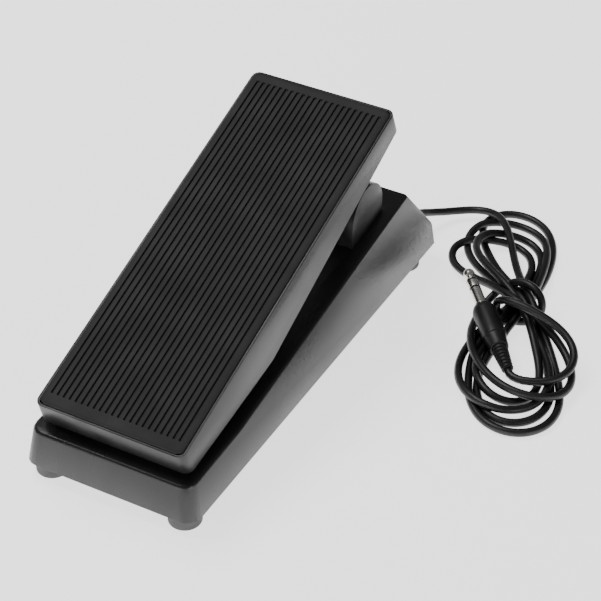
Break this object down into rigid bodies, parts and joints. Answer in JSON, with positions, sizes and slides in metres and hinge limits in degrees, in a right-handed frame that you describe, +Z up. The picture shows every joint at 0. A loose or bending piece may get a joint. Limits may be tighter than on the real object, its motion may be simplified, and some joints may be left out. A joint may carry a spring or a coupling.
{
  "type": "rocker pedal with fixed cord",
  "caption": "Foot rocker pedal for audio gear: a ribbed treadle tilts on an axle over a wedge base and turns a geared potentiometer; a fixed cord ends in a phone plug.",
  "frame": {"origin": "middle of the base outline on the floor, under the feet, measured without the cord and plug", "axes": "+Z up, +Y towards the toe end where the cord leaves, +X to the right of a foot on the treadle"},
  "size_m": [0.2182, 0.3153, 0.1159],
  "materials": {
    "base_plastic": "fine satin texture",
    "treadle_plastic": "fine satin texture",
    "mat_rubber": "matt, ribbed",
    "foot_rubber": "matt",
    "plate_steel": "black satin",
    "steel": "plain",
    "nickel": "polished nickel",
    "nylon": "natural",
    "acetal": "natural",
    "board": "coated laminate",
    "pot_metal": "pressed steel can",
    "cord_jacket": "satin flexible jacket",
    "moulded_black": "satin moulding",
    "insulator": "plain"
  },
  "bodies": {
    "base": {"base_shell": "base_plastic", "bottom_plate": "plate_steel", "pivot_bushing_left": "nylon", "pivot_bushing_right": "nylon", "heel_pad_left": "mat_rubber", "heel_pad_right": "mat_rubber", "potentiometer": "pot_metal", "pot_washer": "steel", "pot_nut": "nickel", "circuit_board": "board", "board_screw_heel": "steel", "board_screw_toe": "steel", "wire_block": "nylon", "inner_lead": "cord_jacket", "pot_wires": "cord_jacket", "cord_relief": "moulded_black", "cord_lead": "cord_jacket", "cord_hank": "cord_jacket", "cord_tail": "cord_jacket", "plug_handle": "moulded_black", "plug_boot": "moulded_black", "plug_sleeve": "nickel", "plug_ring": "nickel", "plug_tip": "nickel", "plug_insulator_tip": "insulator", "plug_insulator_ring": "insulator", "foot_heel_left": "foot_rubber", "foot_screw_heel_left": "steel", "foot_heel_right": "foot_rubber", "foot_screw_heel_right": "steel", "foot_toe_left": "foot_rubber", "foot_screw_toe_left": "steel", "foot_toe_right": "foot_rubber", "foot_screw_toe_right": "steel"},
    "treadle": {"treadle_shell": "treadle_plastic", "tread_mat": "mat_rubber", "pivot_axle": "steel", "axle_clip_left": "plate_steel", "axle_clip_right": "plate_steel", "friction_washer_left": "nylon", "friction_washer_right": "nylon", "toe_pad_left": "mat_rubber", "toe_pad_right": "mat_rubber", "sector_gear": "acetal", "sector_screw_1": "steel", "sector_screw_2": "steel"},
    "pinion": {"pot_pinion": "acetal", "pot_shaft": "steel"}
  },
  "joints": [
    {"name": "treadle_pivot", "type": "hinge", "parent": "base", "child": "treadle", "pos_m": [0, -0.04395, 0.0507], "axis": [-1, 0, 0], "range_deg": [0, 12.6]},
    {"name": "pinion_spin", "type": "hinge", "parent": "base", "child": "pinion", "pos_m": [0, 0.07329, 0.05849], "axis": [1, 0, 0], "range_deg": [-2, 262]}
  ],
  "couplings": [
    {"joint": "pinion_spin", "follows": "treadle_pivot", "ratio": 20.364}
  ]
}
